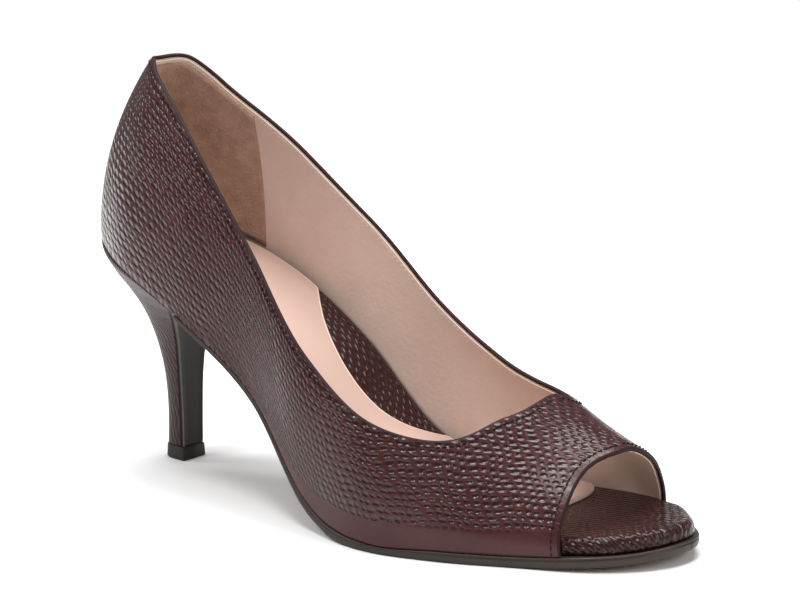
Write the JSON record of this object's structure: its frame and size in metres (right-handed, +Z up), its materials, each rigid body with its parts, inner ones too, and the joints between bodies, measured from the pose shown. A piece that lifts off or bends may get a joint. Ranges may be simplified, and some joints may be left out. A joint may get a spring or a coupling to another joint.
{
  "type": "high heel pump",
  "caption": "Right peep-toe pump: embossed leather upper, padded insole, sock lining, thin sole and a slim covered heel with a top piece.",
  "frame": {"origin": "on the floor, under the middle of the shoe's bounding box", "axes": "+X to the toe along the shoe's length, +Y to the inner side of the foot, +Z up"},
  "size_m": [0.2232, 0.082, 0.1328],
  "materials": {
    "embossed_leather": "glossy, embossed with small round scales",
    "footbed_leather": "glossy, embossed with small round scales",
    "sole_leather": "satin",
    "sock_leather": "matte, smooth",
    "breast_leather": "satin",
    "top_piece_rubber": "matte"
  },
  "bodies": {
    "root": {"upper": "embossed_leather", "outsole": "sole_leather", "insole": "footbed_leather", "sock_lining": "sock_leather", "heel": "embossed_leather", "heel_breast": "breast_leather", "top_piece": "top_piece_rubber"}
  },
  "joints": []
}
